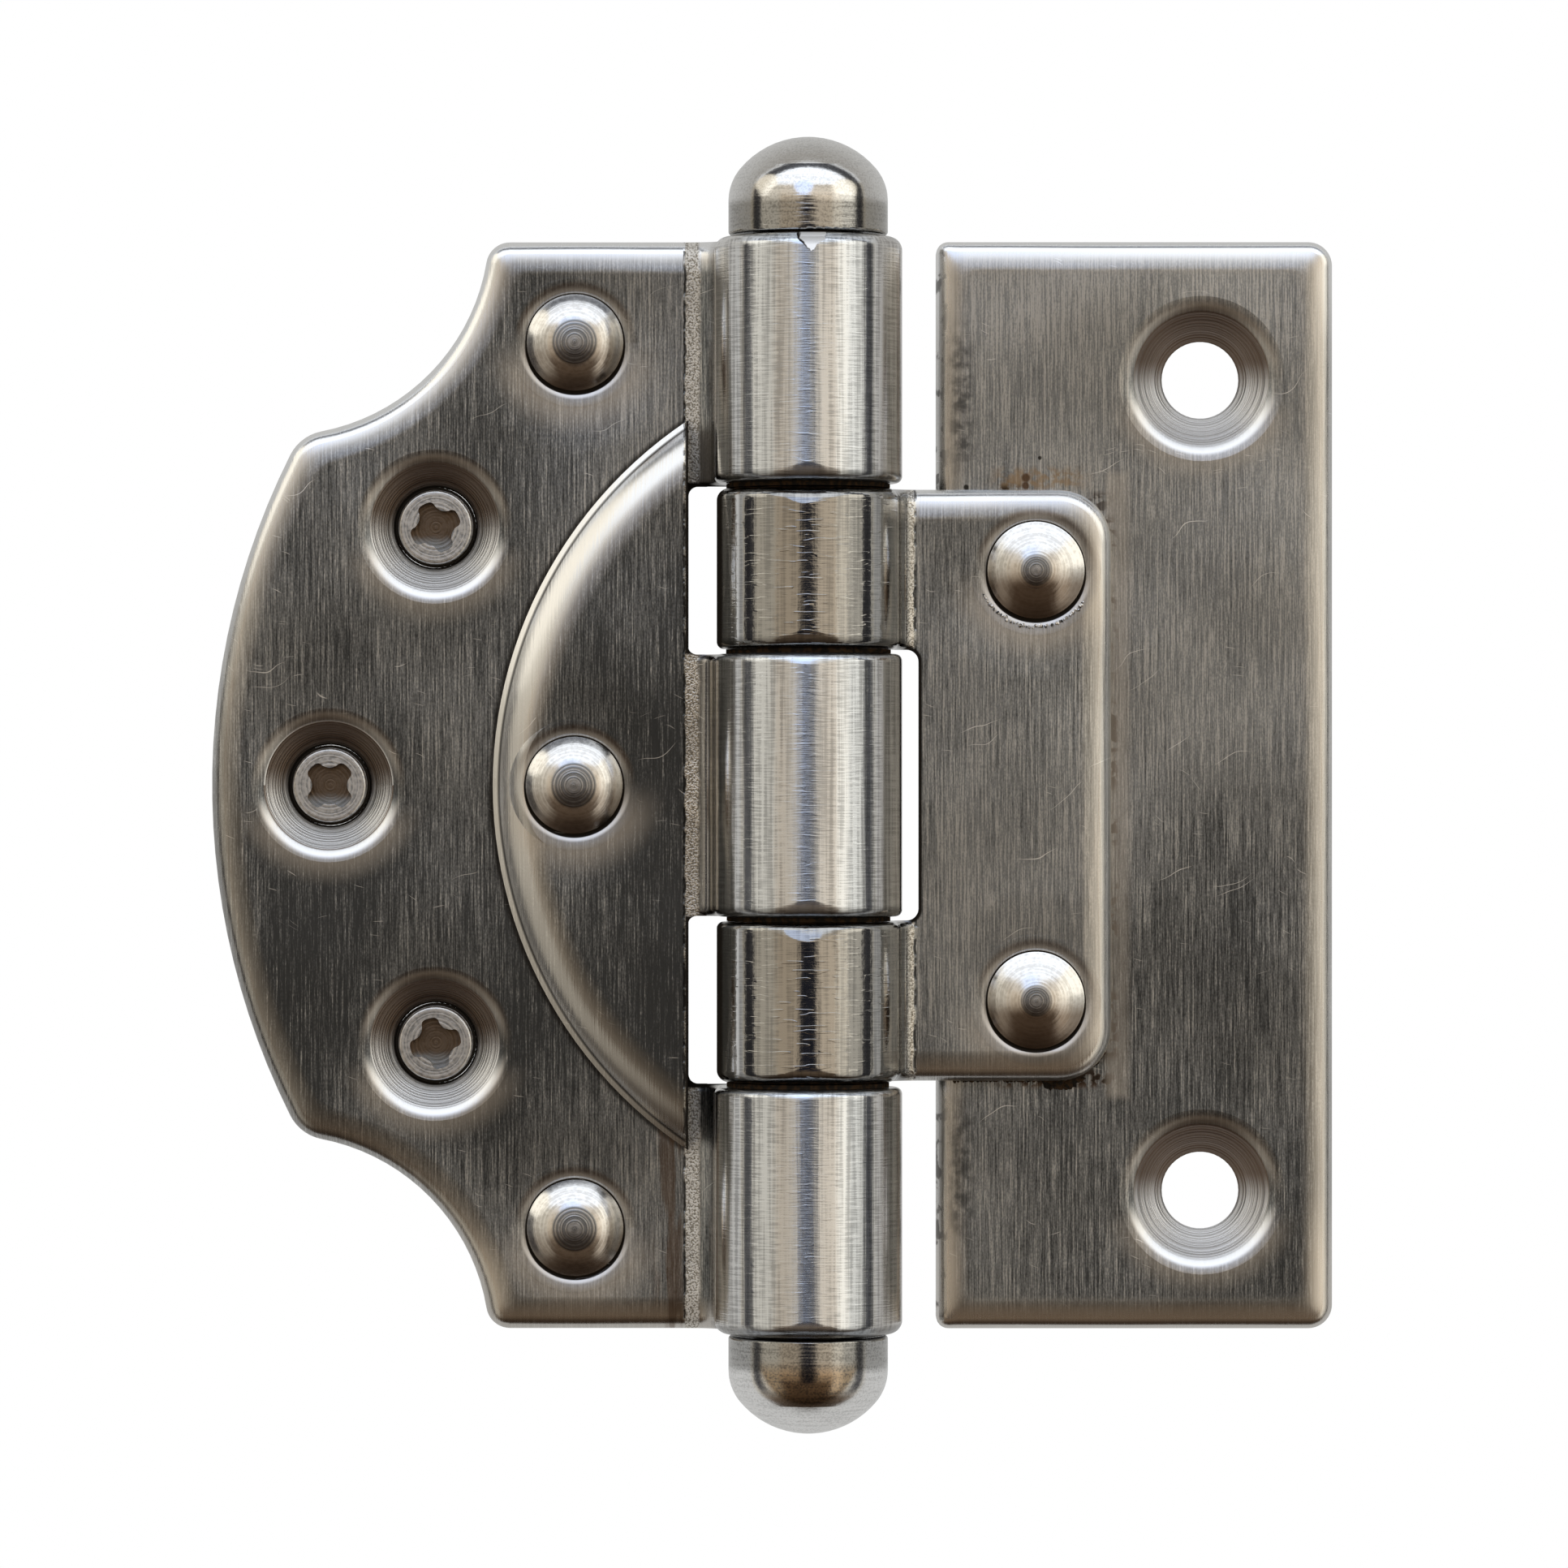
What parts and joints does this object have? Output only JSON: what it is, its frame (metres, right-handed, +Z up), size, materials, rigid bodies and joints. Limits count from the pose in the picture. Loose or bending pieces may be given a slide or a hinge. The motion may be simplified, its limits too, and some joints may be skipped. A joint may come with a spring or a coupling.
{
  "type": "cabinet hinge",
  "caption": "Surface-mounted steel cabinet hinge: a scalloped door leaf with a raised half-round plate turns on a dome-ended pin against a plain screw-fixed mounting plate.",
  "frame": {"origin": "middle of the two screw holes on the back face of the mounting plate", "axes": "+Z up along the hinge pin; +X from the door leaf towards the mounting plate's outer edge; +Y out of the backs of both leaves, so the front faces -Y"},
  "size_m": [0.0654, 0.0109, 0.0752],
  "materials": {
    "leaf_steel": "brushed upright, with fine scratches",
    "overlay_steel": "brushed upright, with a polished rounded rim",
    "plate_steel": "brushed upright, with dark marks along its inner edge",
    "strap_steel": "brushed, with polished knuckles",
    "pin_steel": "turned, semi-polished",
    "rivet_steel": "polished domes",
    "screw_steel": "turned, with a dark recess"
  },
  "bodies": {
    "frame_leaf": {"mounting_plate": "plate_steel", "knuckle_strap": "strap_steel", "strap_rivet_upper": "rivet_steel", "strap_rivet_lower": "rivet_steel"},
    "door_leaf": {"scalloped_leaf": "leaf_steel", "half_round_plate": "overlay_steel", "hinge_pin": "pin_steel", "lower_pin_cap": "pin_steel", "leaf_rivet_upper": "rivet_steel", "leaf_rivet_centre": "rivet_steel", "leaf_rivet_lower": "rivet_steel", "star_screw_upper": "screw_steel", "star_screw_centre": "screw_steel", "star_screw_lower": "screw_steel"}
  },
  "joints": [
    {"name": "leaf_swing", "type": "hinge", "parent": "frame_leaf", "child": "door_leaf", "pos_m": [-0.023, -0.00545, 0], "axis": [0, 0, 1], "range_deg": [-105, 180]}
  ]
}
